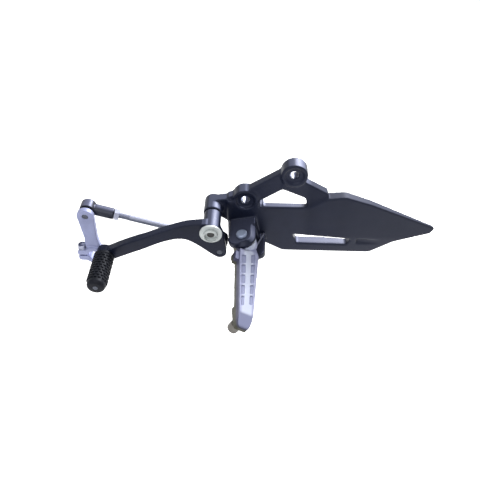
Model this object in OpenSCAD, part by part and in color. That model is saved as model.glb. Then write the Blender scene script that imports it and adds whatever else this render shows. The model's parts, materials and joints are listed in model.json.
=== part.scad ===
// Left-hand rider footrest of a sport motorcycle: hanger bracket with heel guard, folding footpeg,
// shift lever with rubber toe peg, and the linkage to the gearshift arm.
// X runs rearwards along the heel guard, Y runs inwards to the frame, Z runs up.
// The origin lies on the frame face, midway between the two frame bolt holes.

/* [Frame bolts] */
// Distance between the bolt holes along X
bolt_span_x = 47; // [44:0.5:50]
// Rise from the front bolt hole to the rear one
bolt_span_z = 32.5; // [30:0.5:35]
// Diameter of the frame bolt holes
bolt_hole_d = 9; // [8.2:0.1:10.4]
// Outer diameter of the bolt bosses
boss_d = 26; // [24:0.5:29]
// Length of the bolt bosses from the frame face
boss_len = 14; // [12.5:0.5:17]
// Diameter of the spot face around each hole
spot_d = 18.5; // [16:0.5:21]
// Depth of the spot face
spot_depth = 2; // [1:0.25:3]

/* [Bracket casting] */
// Width of the arm between the two bosses
arm_w = 18; // [15:0.5:21]
// Gap between the frame face and the back of the arms
arm_back = 2; // [1:0.25:4]
// Distance from the frame face to the front of the arms
arm_front = 12; // [10:0.25:13]
// Distance from the frame face to the front of the heel guard
guard_front = 15; // [14:0.25:17]
// Thickness of the heel guard below the window
guard_t = 8; // [6:0.25:9.5]
// Thickness of the heel guard at its tip
tip_t = 4; // [3:0.25:6]
// Distance from the origin to the rear tip
guard_reach = 171.5; // [160:0.5:185]
// Depth of the lower edge below the origin
guard_drop = 85.5; // [80:0.5:92]
// Length of the slot along its upper side
slot_len = 62; // [50:1:64]
// Height of the slot at its front end
slot_h = 12.5; // [9:0.5:14]
// Depth of the scoop behind the slot
scoop_depth = 2.4; // [1:0.1:3.5]

/* [Footpeg hinge] */
// Position of the hinge along X
hinge_x = -22.8; // [-24:0.1:-21.5]
// Distance from the frame face out to the hinge pin
hinge_out = 39.5; // [38.5:0.5:42]
// Depth of the hinge below the origin
hinge_drop = 54; // [53:0.5:56]
// Forward lean of the hinge pin
hinge_lean = 12; // [8:0.5:14]
// Diameter of the hinge pin
pin_d = 8; // [7:0.1:9]
// Radius of the rounded lug ends
lug_r = 13; // [12:0.25:13.5]
// Thickness of each lug
lug_t = 7; // [6:0.25:8]
// Space between the lugs
jaw = 18; // [17:0.25:20]
// Running gap on each side of the footpeg root
side_gap = 0.3; // [0.2:0.05:0.5]

/* [Footpeg] */
// Length from the hinge pin to the rounded tip
peg_len = 104; // [90:1:115]
// Width of the tread at the root
tread_w = 19.6; // [17:0.2:21]
// Width of the tread at the tip
tread_tip_w = 14; // [11:0.2:16]
// Height of the footpeg at the root
peg_h = 17; // [15:0.25:18]
// Rearward roll of the tread about the length of the footpeg
tread_roll = 30; // [25:1:34]
// Depth of the tread pockets
pocket_depth = 1.1; // [0.5:0.1:1.8]
// Spacing of the rungs across the tread
rung_pitch = 12.8; // [11:0.2:14]
// Diameter of the banking feeler
feeler_d = 11; // [8:0.25:12]
// Wire diameter of the return spring
wire_d = 1.8; // [1.4:0.1:2]

/* [Shift lever] */
// Position of the lever pivot along X
pivot_x = -56; // [-58:0.25:-55]
// Depth of the lever pivot below the origin
pivot_drop = 26.5; // [25:0.25:28]
// Diameter of the pivot boss on the bracket
pivot_boss_d = 19; // [18:0.25:21]
// Length of the pivot boss
pivot_boss_len = 23; // [20:0.25:23.5]
// Diameter of the lever hub
hub_d = 17.6; // [17:0.2:19]
// Distance from the frame face to the outer end of the hub
hub_out = 50; // [48.5:0.25:53]
// Shoulder diameter of the pivot bolt
shoulder_d = 10; // [9:0.1:10.5]
// Wall of the pivot bush
bush_wall = 1; // [0.8:0.1:1.4]
// Distance from the frame face to the inner side of the lever
lever_in = 38; // [37.5:0.25:39]
// Thickness of the lever blade
lever_t = 9; // [7:0.25:10]
// Outward crank of the lever between the hub and the toe
crank = 7.5; // [7:0.25:9]
// Horizontal distance from the pivot to the toe peg
toe_reach = 108.4; // [100:0.5:118]
// Depth of the toe peg below the pivot
toe_fall = 31.7; // [26:0.5:38]
// Diameter of the rubber toe sleeve
rubber_d = 20.4; // [18:0.2:22]
// Length of the rubber toe sleeve
rubber_len = 42; // [36:0.5:46]
// Diameter of the steel toe pin
toe_pin_d = 8; // [7:0.1:9]

/* [Linkage] */
// Distance from the frame face to the plane of the two ball joints
ball_out = 28; // [27:0.25:28.5]
// Horizontal distance from the pivot to the rear ball
tail_x = 7.5; // [6:0.25:8]
// Depth of the rear ball below the pivot
tail_drop = 30.5; // [29:0.25:33]
// Horizontal distance between the two balls
rod_run = 130.5; // [120:0.5:136]
// Rise from the rear ball to the front ball
rod_rise = 40; // [36:0.5:44]
// Diameter of the linkage rod
rod_d = 6; // [5:0.1:6.6]
// Diameter of the balls
ball_d = 10; // [9:0.1:10.5]
// Outer diameter of the ball sockets
socket_d = 15.4; // [15:0.1:16]
// Length of a socket along its stud
socket_w = 10.6; // [10:0.1:11]
// Length of the shank from the ball centre
shank_len = 26; // [22:0.5:30]
// Diameter of the shank
shank_d = 11.5; // [10:0.25:12.5]

/* [Gearshift arm] */
// Distance from the frame face to the inner side of the arm
sarm_in = 36.5; // [36:0.1:37]
// Thickness of the arm
sarm_t = 5.5; // [4.5:0.1:6]
// Distance from the ball stud to the shaft bore
sarm_len = 52; // [48:0.5:60]
// Diameter of the bore for the gearshift shaft
shaft_d = 12; // [10:0.1:13]
// Outer diameter of the clamp boss
clamp_d = 22; // [20.5:0.25:22.5]
// Width of the pinch slit
slit = 2; // [1.2:0.1:2.6]

/* [Hidden] */
$fn = 48;
// Clearance of a sliding fit, on the radius
fit = 0.05;
// Clearance between faces that pass each other
face_gap = 0.3;
// Overrun of a cutting shape past the surface that it cuts
over = 1;

satin_black = [0.20, 0.21, 0.26];
cast_silver = [0.66, 0.67, 0.74];
zinc = [0.70, 0.73, 0.68];
bright_steel = [0.80, 0.81, 0.85];
soft_black = [0.09, 0.09, 0.10];

bolt_front = [-bolt_span_x / 2, -bolt_span_z / 2];
bolt_rear = [bolt_span_x / 2, bolt_span_z / 2];
pivot = [pivot_x, -pivot_drop];
toe = pivot + [-toe_reach, -toe_fall];
rear_ball = pivot + [tail_x, -tail_drop];
front_ball = rear_ball + [-rod_run, rod_rise];
shaft = front_ball + [0, -sarm_len];
rod_pitch = norm(front_ball - rear_ball);
rod_angle = atan2(rod_rise, rod_run);
lever_out = lever_in + lever_t;
toe_in = lever_in + crank;
toe_out = toe_in + lever_t;
sarm_out = sarm_in + sarm_t;

// Outline helpers
function unit(v) = v / norm(v);
function turn_sign(s, e) = s[0] * e[1] - s[1] * e[0] > 0 ? 1 : -1;
function corner_arc(a, p, b, r, n = 5) =
    let (u = unit(a - p), v = unit(b - p), th = acos(u * v), t = r / tan(th / 2),
        c = p + unit(u + v) * r / sin(th / 2), s = p + u * t - c, e = p + v * t - c,
        a0 = atan2(s[1], s[0]), sweep = turn_sign(s, e) * (180 - th))
    [for (i = [0 : n]) c + r * [cos(a0 + sweep * i / n), sin(a0 + sweep * i / n)]];
function xy(p) = [p[0], p[1]];
// Rounds every corner of an outline whose points are [x, z, radius]
function rounded(pts) =
    [for (i = [0 : len(pts) - 1])
        each (pts[i][2] == 0 ? [xy(pts[i])] : corner_arc(xy(pts[(i + len(pts) - 1) % len(pts)]),
            xy(pts[i]), xy(pts[(i + 1) % len(pts)]), pts[i][2]))];
// Point on a cubic curve
function cubic(a, b, c, d, t) =
    pow(1 - t, 3) * a + 3 * t * pow(1 - t, 2) * b + 3 * t * t * (1 - t) * c + t * t * t * d;
function curve(a, b, c, d, n = 12) = [for (i = [0 : n]) cubic(a, b, c, d, i / n)];
function polar(c, r, a) = c + r * [cos(a), sin(a)];

// Round bar along Y between two distances out from the frame face
module bar(p, d, from, to)
    translate([p[0], -from, p[1]]) rotate([90, 0, 0]) cylinder(d = d, h = to - from);

// Tapered bar along Y
module cone_bar(p, d1, d2, from, to)
    translate([p[0], -from, p[1]]) rotate([90, 0, 0]) cylinder(d1 = d1, d2 = d2, h = to - from);

// Prism along Y with its outline in X and Z
module slab(pts, from, to)
    translate([0, -from, 0]) rotate([90, 0, 0]) linear_extrude(to - from) polygon(pts);

// Six-sided bar along Y, sized across its flats
module hex_bar(p, flats, from, to)
    slab([for (i = [0 : 5]) polar(p, flats / sqrt(3), 60 * i + 30)], from, to);

// Frame of the hinge pin: Z along the pin, Y inwards
module at_hinge()
    translate([hinge_x, -hinge_out, -hinge_drop]) rotate([0, -hinge_lean, 0]) children();

// Frame of the tread: Z out of the tread
module at_tread()
    translate([hinge_x, -hinge_out, -hinge_drop]) rotate([0, tread_roll, 0]) children();

// Frame of the linkage rod: origin at the rear ball, Z towards the front ball
module at_rod()
    translate([rear_ball[0], -ball_out, rear_ball[1]]) rotate([0, rod_angle - 90, 0]) children();

// Bracket

// The outline of the heel guard, from its upper front corner and clockwise
guard_tip = [guard_reach, -49];
guard_crown = [76, -8];
guard_floor = -guard_drop;
guard_heel = [-11, -69];
function guard_outline() = rounded([
    [guard_heel[0], window_sill, 0], [40, window_sill, 0], [57, guard_crown[1] - 3, 8],
    [guard_crown[0], guard_crown[1], 14], [103, guard_crown[1] - 9, 30],
    [guard_tip[0] + 1, guard_tip[1] + 2.5, 3], [guard_tip[0] - 3, guard_tip[1] - 5, 3],
    [133, -67.5, 30], [109, guard_floor + 1, 14], [19, guard_floor, 18],
    [guard_heel[0] + 2, guard_heel[1], 6]]);

window_sill = -22.5;
function window_outline() = rounded([
    [-6.5, window_sill, 2], [-3.5, -13.4, 2], [13.2, -1.6, 2.5], [39, -15.6, 2.5], [33, window_sill, 2]]);

slot_start = [26, -59.7];
slot_slope = -4.9;
function slot_outline() = rounded([
    [slot_start[0], slot_start[1], 1.2],
    [slot_start[0] + slot_len, slot_start[1] + slot_len * tan(slot_slope), 1.2],
    [slot_start[0] + slot_len - 4, slot_start[1] - slot_h - 1, 2],
    [slot_start[0] + 5, slot_start[1] - slot_h, 2]]);

block_left = -41.5;
block_right = -9;
block_floor = -71;
arm_dir = unit(bolt_rear - bolt_front);
arm_side = [-arm_dir[1], arm_dir[0]] * arm_w / 2;

module frame_arms() {
    slab([bolt_front + arm_side, bolt_rear + arm_side, bolt_rear - arm_side, bolt_front - arm_side],
        arm_back, arm_front);
    slab([[13, 14], [31, 10.5], [58, guard_crown[1] + 2.5], [62, -26], [39, -24], [36, -12], [12, -1]],
        arm_back + 1, arm_front + 0.6);
    slab([[block_left, window_sill - 1], [block_left, bolt_front[1] + 3], bolt_front + arm_side,
        bolt_front - arm_side, [-5, window_sill + 1], [-5, window_sill - 4]], arm_back, arm_front);
}

module heel_guard() {
    back_slope = atan((guard_t + 3 - tip_t) / (guard_tip[0] - guard_crown[0]));
    difference() {
        slab(guard_outline(), guard_front - guard_t - 3, guard_front);
        // Back face, thin under the window and tapering from the crown to the tip
        slab([[-14, window_sill - 16], [42, window_sill - 16], [42, 0], [-14, 0]], 0, guard_front - guard_t);
        translate([guard_crown[0] - 6, guard_t + 3 - guard_front, -100]) rotate([0, 0, -back_slope])
            cube([130, 30, 120]);
        // Lightening pocket in the back
        slab(rounded([[34, -34, 4], [74, -24, 6], [116, -42, 8], [100, -56, 5], [38, -52, 5]]),
            0, guard_front - 4.5);
        slab(slot_outline(), 0, guard_front + over);
        // Shallow scoop behind the slot, deepest at its front
        translate([slot_start[0] + slot_len + 6, -guard_front - over, -71])
            linear_extrude(6.5) polygon([[0, 0], [0, over + scoop_depth], [26, over], [26, 0]]);
        // Chamfer along the lower edge
        translate([0, -guard_front, guard_floor]) rotate([45, 0, 0])
            cube([260, 3.4, 3.4], center = true);
    }
}

module pivot_boss() {
    bar(pivot, pivot_boss_d, 1, pivot_boss_len);
    slab([[pivot[0], pivot[1] + pivot_boss_d / 2], [block_left + 1, bolt_front[1] + 2],
        [block_left + 1, -45], [pivot[0] + 3, pivot[1] - pivot_boss_d / 2]], 3, 13);
}

neck_w = 27;
lug_flare = 5.2;

// Two lugs on a neck, with the outer rim of the upper lug bevelled
module clevis() {
    jaw_top = jaw / 2;
    neck_y = lug_r + 1.2;
    reach_in = hinge_out - guard_front + 3;
    at_hinge() {
        translate([-neck_w / 2, neck_y, -jaw_top - lug_t])
            cube([neck_w / 2 + lug_r, reach_in - neck_y, jaw + 2 * lug_t]);
        // Upper lug
        translate([0, 0, jaw_top]) {
            cylinder(r = lug_r, h = lug_t - 4);
            translate([0, 0, lug_t - 4]) cylinder(r1 = lug_r, r2 = lug_r - 4, h = 4);
            translate([-6, -3, 0]) cylinder(r = lug_r - 4.5, h = lug_t);
            rotate([90, 0, 0]) mirror([0, 0, 1]) linear_extrude(reach_in)
                polygon([[-neck_w / 2, 0], [-neck_w / 2, lug_t], [lug_r - 4, lug_t],
                    [lug_r, lug_t - 4], [lug_r, 0]]);
        }
        // Lower lug, broader on the side where the footpeg stops
        translate([0, 0, -jaw_top - lug_t]) {
            cylinder(r = lug_r, h = lug_t);
            translate([-neck_w / 2, 0, 0]) cube([neck_w / 2 + lug_r + lug_flare, reach_in, lug_t]);
            translate([lug_r + lug_flare - 6, 0, 0]) cylinder(r = 6, h = lug_t);
        }
    }
}

module bracket() color(satin_black) difference() {
    union() {
        difference() {
            frame_arms();
            slab(window_outline(), 0, guard_front + over);
        }
        heel_guard();
        bar(bolt_front, boss_d, 0, boss_len);
        bar(bolt_rear, boss_d, 0, boss_len);
        slab(rounded([[block_left, bolt_front[1], 0], [block_right, bolt_front[1], 0],
            [block_right, block_floor, 5], [block_left, block_floor, 5]]), 1, guard_front);
        pivot_boss();
        clevis();
    }
    for (hole = [bolt_front, bolt_rear]) {
        bar(hole, bolt_hole_d, -over, boss_len + over);
        bar(hole, spot_d, boss_len - spot_depth, boss_len + 6);
    }
    // Threaded bore for the pivot bolt
    bar(pivot, 8 + 2 * fit, -over, pivot_boss_len + over);
    // Bore for the hinge pin
    at_hinge() translate([0, 0, -jaw]) cylinder(d = pin_d + 2 * fit, h = 2 * jaw);
    // Room for the root of the footpeg
    at_hinge() translate([0, 0, -jaw / 2]) cylinder(r = lug_r + 1.2, h = jaw);
}

// Footpeg, its hinge pin and return spring

tread_start = lug_r + 3;
nose_len = 14;
peg_tip_h = peg_h - 4;
keel_w = 7;
rail_w = 2;
spine_w = 5.6;
rung_w = 2.2;
rung_slant = 24;
shoulder_w = 3.2;
shoulder_len = 11;
stop_len = lug_r + 1.2 - face_gap;
spring_top = -1.8;
spring_r = pin_d / 2 + 1.7 + wire_d / 2;

// Plan of the footpeg, seen on the tread
function peg_plan() = rounded([
    [-tread_w / 2 + 1, -3, 0], [-tread_w / 2, -tread_start, 6], [-tread_tip_w / 2, -peg_len + 8, 10],
    [-tread_tip_w / 2 + 1.5, -peg_len, 5], [tread_tip_w / 2 - 1.5, -peg_len, 5],
    [tread_tip_w / 2, -peg_len + 8, 10], [tread_w / 2 + 1.5, -tread_start, 6], [tread_w / 2 - 1, -3, 0]]);
// Side view of the footpeg, as [y, z]
function peg_side() = rounded([
    [-3, -peg_h / 2 + 2, 0], [-3, peg_h / 2 - 2, 0], [-tread_start, peg_h / 2, 3],
    [-peg_len + nose_len, peg_h / 2 - 1, 6], [-peg_len, peg_h / 2 - 6, 3],
    [-peg_len + 1, peg_h / 2 - peg_tip_h, 3], [-peg_len + 22, -peg_h / 2 + 1, 12],
    [-tread_start, -peg_h / 2, 4]]);

// Inner edge of a side rail at a distance from the hinge pin
function rail_x(y) = tread_w / 2 - rail_w
    - (tread_w - tread_tip_w) / 2 * (y - tread_start) / (peg_len - tread_start);
function pocket(side, y1, y2) =
    [for (p = [[spine_w / 2, y1], [rail_x(y1), y1], [rail_x(y2), y2], [spine_w / 2, y2]])
        [side * p[0], side * p[0] * tan(rung_slant) - p[1]]];

module peg_body() at_tread() difference() {
    union() {
        intersection() {
            translate([0, 0, -peg_h]) linear_extrude(2 * peg_h) polygon(peg_plan());
            translate([-tread_w, 0, 0]) rotate([90, 0, 90]) linear_extrude(2 * tread_w) polygon(peg_side());
        }
        // Shoulder at the root
        translate([-tread_w / 2 - shoulder_w, -tread_start - shoulder_len, shoulder_w - peg_h / 2])
            cube([tread_w / 2, shoulder_len, peg_h - 2 * shoulder_w]);
    }
    // Pockets in the tread, between two side rails, a spine and slanted rungs
    for (y = [tread_start + 2 : rung_pitch : peg_len - nose_len - rung_pitch]) for (side = [-1, 1])
        translate([0, 0, peg_h / 2 - pocket_depth - y / peg_len])
            linear_extrude(peg_h) polygon(pocket(side, y + rung_w / 2, y + rung_pitch - rung_w / 2));
    // Hollow flanks beside the keel
    for (side = [-1, 1])
        translate([side * (keel_w / 2 + 10) - 10, -peg_len + 26, -peg_h])
            cube([20, peg_len - 26 - tread_start - 6, peg_h - 3.5]);
    translate([0, -peg_len + 13, -peg_h]) cylinder(d = 6 + 2 * fit, h = peg_h);
}

// Side of the spring's leg that faces the footpeg when it is folded
function folded_leg(s) = let (a = spring_leave - fold_max)
    (spring_r + wire_d / 2 + leg_room) * [cos(a), sin(a)] + s * [-sin(a), cos(a)];

module footpeg() color(cast_silver) difference() {
    union() {
        difference() {
            peg_body();
            // Clear of both lugs over the whole fold
            at_hinge() translate([-30, -lug_r - 1, jaw / 2 - side_gap]) cube([60, 60, 30]);
            at_hinge() translate([-30, -lug_r - lug_flare - 1, -30 - jaw / 2 + side_gap]) cube([60, 60, 30]);
        }
        at_hinge() translate([0, 0, spring_top + 0.3]) {
            cylinder(r = lug_r - 0.5, h = jaw / 2 - side_gap - spring_top - 0.3);
            translate([-11, 0, 0]) cube([9, stop_len, jaw / 2 - side_gap - spring_top - 0.3]);
        }
    }
    at_hinge() {
        translate([0, 0, -jaw]) cylinder(d = pin_d + 4 * fit, h = 2 * jaw);
        translate([0, 0, -jaw]) cylinder(r = spring_r + wire_d / 2 + 1.1, h = jaw + spring_top + 0.3);
        // Way of the spring's leg while the footpeg folds
        translate([0, 0, -jaw]) linear_extrude(jaw + spring_low + wire_d / 2 + leg_room)
            polygon([[0, 0], folded_leg(0), folded_leg(leg_len), [leg_len, 0]]);
    }
}

module feeler_bolt() color([0.45, 0.43, 0.38]) at_tread() {
    translate([0, -peg_len + 13, -peg_h - 3.4]) {
        cylinder(d1 = feeler_d - 4, d2 = feeler_d, h = 2);
        translate([0, 0, 2]) cylinder(d = feeler_d, h = 8);
        translate([0, 0, 9]) cylinder(d = 6, h = 8);
    }
}

pin_end = -jaw / 2 - lug_t - 4;
module hinge_pin() color(bright_steel) at_hinge() difference() {
    union() {
        translate([0, 0, pin_end]) cylinder(d = pin_d, h = jaw / 2 + lug_t + fit - pin_end);
        translate([0, 0, jaw / 2 + lug_t + fit]) cylinder(d = pin_d + 3, h = 2.7);
        translate([0, 0, jaw / 2 + lug_t + fit + 2.7]) cylinder(d1 = pin_d + 3, d2 = pin_d + 1.4, h = 0.8);
    }
    // Groove for the clip
    translate([0, 0, pin_end + 1.2]) difference() {
        cylinder(d = pin_d + 2, h = 1.2);
        cylinder(d = pin_d - 2, h = 1.2);
    }
}

module pin_washer() color(bright_steel) at_hinge() translate([0, 0, -jaw / 2 - lug_t - fit - 1]) difference() {
    cylinder(d = pin_d + 7, h = 1);
    translate([0, 0, -over]) cylinder(d = pin_d + 4 * fit, h = 1 + 2 * over);
}

// Open ring snapped into the groove of the pin
module pin_clip() color(bright_steel) at_hinge() translate([0, 0, pin_end + 1.2 + fit]) difference() {
    cylinder(d = pin_d + 4.5, h = 1.1);
    translate([0, 0, -over]) cylinder(d = pin_d - 2 + 4 * fit, h = 1.1 + 2 * over);
    translate([-pin_d * 0.3, -pin_d, -over]) cube([pin_d * 0.6, pin_d, 1.1 + 2 * over]);
}

// Torsion spring: a coil round the pin that ends in a leg against the heel guard
spring_turns = 2.5;
spring_leave = -24.5;
leg_room = 0.6;
fold_max = 88;
spring_low = -jaw / 2 + wire_d / 2 + side_gap;
spring_high = spring_top - wire_d / 2;
spring_steps = 40;
leg_len = (hinge_out - guard_front - wire_d / 2 - face_gap - spring_r * sin(spring_leave))
    / cos(spring_leave);
function coil_point(s) = let (a = spring_leave - spring_turns * 360 * (1 - s))
    [spring_r * cos(a), spring_r * sin(a), spring_high + (spring_low - spring_high) * s];
function spring_path() = concat([for (i = [0 : spring_steps]) coil_point(i / spring_steps)],
    [coil_point(1) + leg_len * [-sin(spring_leave), cos(spring_leave), 0]]);
function path_dir(path, i) =
    unit(path[min(i + 1, len(path) - 1)] - path[max(i - 1, 0)]);
module wire(path, r, sides = 8) {
    rings = len(path);
    points = [for (i = [0 : rings - 1]) let (t = path_dir(path, i), n = unit(cross([0, 0, 1], t)), b = cross(t, n))
        for (k = [0 : sides - 1]) path[i] + r * (cos(360 * k / sides) * n + sin(360 * k / sides) * b)];
    walls = [for (i = [0 : rings - 2]) for (k = [0 : sides - 1])
        [i * sides + k, (i + 1) * sides + k, (i + 1) * sides + (k + 1) % sides, i * sides + (k + 1) % sides]];
    polyhedron(points, concat(walls, [[for (k = [0 : sides - 1]) k]],
        [[for (k = [sides - 1 : -1 : 0]) (rings - 1) * sides + k]]), convexity = 10);
}
module return_spring() color(bright_steel) at_hinge() wire(spring_path(), wire_d / 2);

// Shift lever and its pivot

hub_in = pivot_boss_len + 1.2;
bush_d = shoulder_d + 2 * bush_wall;
toe_boss_d = 17;
tail_r = 7;

// Side view of the lever, from the top of the hub round the toe, the arch and the tail
function lever_side() = concat(
    curve(pivot + [-5, 8.6], pivot + [-39, 5], toe + [39.4, 28.2], toe + [4.4, 7.6]),
    [for (a = [70 : 20 : 290]) polar(toe, toe_boss_d / 2, a)],
    curve(toe + [6.4, -5.6], toe + [34, 8.2], pivot + [-52, -11], pivot + [-34, -11.3]),
    curve(pivot + [-34, -11.3], pivot + [-20, -11.5], pivot + [-10, -25.5], rear_ball + [-4.5, -5.4], 8),
    [for (a = [240 : 20 : 360]) polar(rear_ball, tail_r, a)],
    [pivot + [12.5, -10], pivot + [hub_d / 2 - 0.3, 1], pivot + [4, 7.5]]);

// Plan of the lever blade, cranked outwards between hub and toe
function lever_plan() = let (y1 = -lever_in, y2 = -toe_in, x1 = pivot[0] - 24, x2 = pivot[0] - 64)
    rounded([[pivot[0] + 26, y1, 0], [x1, y1, 50], [x2, y2, 50], [toe[0] - 14, y2, 0],
        [toe[0] - 14, y2 - lever_t, 0], [x2 - 2, y2 - lever_t, 50], [x1 - 2, y1 - lever_t, 50],
        [pivot[0] + 26, y1 - lever_t, 0]]);

module shift_lever() color(satin_black) difference() {
    union() {
        intersection() {
            slab(lever_side(), lever_in - over, toe_out + over);
            translate([0, 0, toe[1] - 40]) linear_extrude(120) polygon(lever_plan());
        }
        bar(pivot, hub_d, hub_in, hub_out - 1);
        cone_bar(pivot, hub_d, hub_d - 2, hub_out - 1, hub_out);
        bar(toe, toe_boss_d, toe_in, toe_out);
    }
    bar(pivot, bush_d + 2 * fit, 0, hub_out + over);
    bar(toe, toe_pin_d + 2 * fit, 0, toe_out + over);
    bar(rear_ball, rod_d + 2 * fit, 0, toe_out);
}

module pivot_bush() color([0.55, 0.45, 0.25]) difference() {
    bar(pivot, bush_d, hub_in, hub_out);
    bar(pivot, shoulder_d + 2 * fit, 0, hub_out + over);
}

module pivot_seal() color(soft_black) difference() {
    bar(pivot, hub_d - 1.6, pivot_boss_len + fit, hub_in - fit);
    bar(pivot, shoulder_d + 2 * fit, 0, hub_out);
}

washer_t = 2.2;
module pivot_washer() color(zinc) difference() {
    union() {
        bar(pivot, 22, hub_out + fit, hub_out + washer_t - 0.4);
        cone_bar(pivot, 22, 21, hub_out + washer_t - 0.4, hub_out + washer_t);
    }
    bar(pivot, shoulder_d + 2 * fit, 0, hub_out + 5);
}

module pivot_bolt() color(zinc) {
    head = hub_out + washer_t + fit;
    difference() {
        union() {
            bar(pivot, 8, 3, pivot_boss_len + fit);
            bar(pivot, shoulder_d, pivot_boss_len + fit, head);
            bar(pivot, 14, head, head + 2.2);
            cone_bar(pivot, 14, 11.5, head + 2.2, head + 3.4);
        }
        hex_bar(pivot, 6, head + 0.6, head + 5);
    }
}

pin_face = toe_out + rubber_len;
module toe_pin() color(bright_steel) {
    bar(toe, toe_pin_d, toe_in + 0.3, pin_face - 3);
    bar(toe, 5, pin_face - 3, pin_face + 0.4);
}

// Moulded sleeve with raised rings and a domed end
module toe_rubber() color(soft_black)
    translate([toe[0], -toe_out - fit, toe[1]]) rotate([90, 0, 0]) difference() {
        rings = 9;
        step = (rubber_len - 7) / rings;
        r = rubber_d / 2;
        rotate_extrude() polygon(concat([[0, 0], [r, 0], [r, 3]],
            [for (i = [0 : rings - 1]) each [
                [r - 1.3, 3.6 + i * step], [r - 1.3, 3 + step / 2 + i * step],
                [r, 3.6 + step / 2 + i * step], [r, 3 + step + i * step]]],
            [for (a = [0 : 15 : 90]) [r - 4 + 4 * cos(a), rubber_len - 4 + 4 * sin(a)]],
            [[0, rubber_len]]));
        translate([0, 0, -over]) cylinder(d = toe_pin_d + 2 * fit, h = rubber_len - 3 + over + fit);
        cylinder(d = 5 + 2 * fit, h = rubber_len + over);
    }

// Linkage: two ball joints on an adjustable rod

socket_face = ball_out + socket_w / 2;
nut_t = 5;
rod_end_len = 12;
stud_nut_t = 2.4;

// Ball stud from the ball to just short of the outer side of its lever
module ball_stud(p, lever_face) {
    translate([p[0], -ball_out, p[1]]) sphere(d = ball_d);
    bar(p, rod_d, ball_out, lever_face - face_gap);
}

// Thin nut on the stud, against the lever and under the boot
module stud_nut(p, seat_face) difference() {
    hex_bar(p, 9, seat_face - fit - stud_nut_t, seat_face - fit);
    bar(p, rod_d + 2 * fit, 0, seat_face + over);
}

// Rubber boot between a socket and its lever
module boot(p, seat_face) difference() {
    cone_bar(p, socket_d - 1.6, 12.6, socket_face + fit, seat_face - face_gap);
    cone_bar(p, 8.6, 12.6, socket_face - over, seat_face - 1);
    bar(p, 11.8, seat_face - fit - stud_nut_t - face_gap, seat_face + over);
}

// Socket and shank, with the shank along at_rod's Z; dir is 1 at the rear ball and -1 at the front
module rod_end(at, dir) difference() {
    union() {
        at_rod() translate([0, 0, at]) rotate([90, 0, 0]) {
            translate([0, 0, -socket_w / 2]) cylinder(d = socket_d, h = socket_w);
        }
        at_rod() translate([0, 0, at]) mirror([0, 0, dir > 0 ? 0 : 1]) {
            // Neck that stays between the faces of the socket
            cylinder(d = socket_w - 2 * fit, h = socket_d / 2);
            translate([0, 0, socket_d / 2 - face_gap])
                cylinder(d = shank_d, h = shank_len - 1 - socket_d / 2 + face_gap);
            translate([0, 0, shank_len - 1]) cylinder(d1 = shank_d, d2 = shank_d - 2, h = 1);
        }
    }
    at_rod() translate([0, 0, at]) {
        sphere(d = ball_d + 2 * fit);
        rotate([90, 0, 0]) cylinder(d = ball_d * 0.86, h = socket_w);
        rotate([-90, 0, 0]) cylinder(d = ball_d + 2 * fit, h = socket_w);
        mirror([0, 0, dir > 0 ? 0 : 1]) translate([0, 0, shank_len - rod_end_len - 1])
            cylinder(d = rod_d + 2 * fit, h = rod_end_len + 2);
    }
}

// Domed plug in the back of a socket, hollowed for the ball
module socket_cap(p) difference() {
    back = ball_out - socket_w / 2;
    union() {
        bar(p, ball_d, back - 0.4, back + 0.8);
        cone_bar(p, socket_d - 4, socket_d - 2, back - 1.6, back - 0.8);
        bar(p, socket_d - 2, back - 0.8, back - fit);
    }
    translate([p[0], -ball_out, p[1]]) sphere(d = ball_d + 2 * fit);
}

// Locknut against a shank
module locknut(at, dir) at_rod() translate([0, 0, at]) mirror([0, 0, dir > 0 ? 0 : 1])
    translate([0, 0, shank_len + fit]) difference() {
        cylinder(d = 10 / cos(30), h = nut_t, $fn = 6);
        translate([0, 0, -over]) cylinder(d = rod_d + 2 * fit, h = nut_t + 2 * over);
    }

module rear_ball_stud() color(bright_steel) ball_stud(rear_ball, lever_out);
module rear_stud_nut() color(bright_steel) stud_nut(rear_ball, lever_in);
module rear_boot() color(soft_black) boot(rear_ball, lever_in);
module rear_rod_end() color(soft_black) rod_end(0, 1);
module rear_cap() color(soft_black) socket_cap(rear_ball);
module rear_locknut() color(bright_steel) locknut(0, 1);
module link_rod() color(bright_steel) at_rod()
    translate([0, 0, shank_len - rod_end_len]) cylinder(d = rod_d, h = rod_pitch - 2 * (shank_len - rod_end_len));
module front_locknut() color(bright_steel) locknut(rod_pitch, -1);
module front_rod_end() color(soft_black) rod_end(rod_pitch, -1);
module front_cap() color(soft_black) socket_cap(front_ball);
module front_boot() color(soft_black) boot(front_ball, sarm_in);
module front_ball_stud() color(bright_steel) ball_stud(front_ball, sarm_out);
module front_stud_nut() color(bright_steel) stud_nut(front_ball, sarm_in);

// Gearshift arm with its split clamp

eye_d = 16.5;
waist_w = 12.5;
clamp_in = sarm_in - 2.5;
clamp_out = sarm_out + 2.5;
ear_reach = 16.5;
ear_h = 14;
pinch_x = shaft[0] - shaft_d / 2 - 5.6;
pinch_y = (clamp_in + clamp_out) / 2;
pinch_d = 5;

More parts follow.
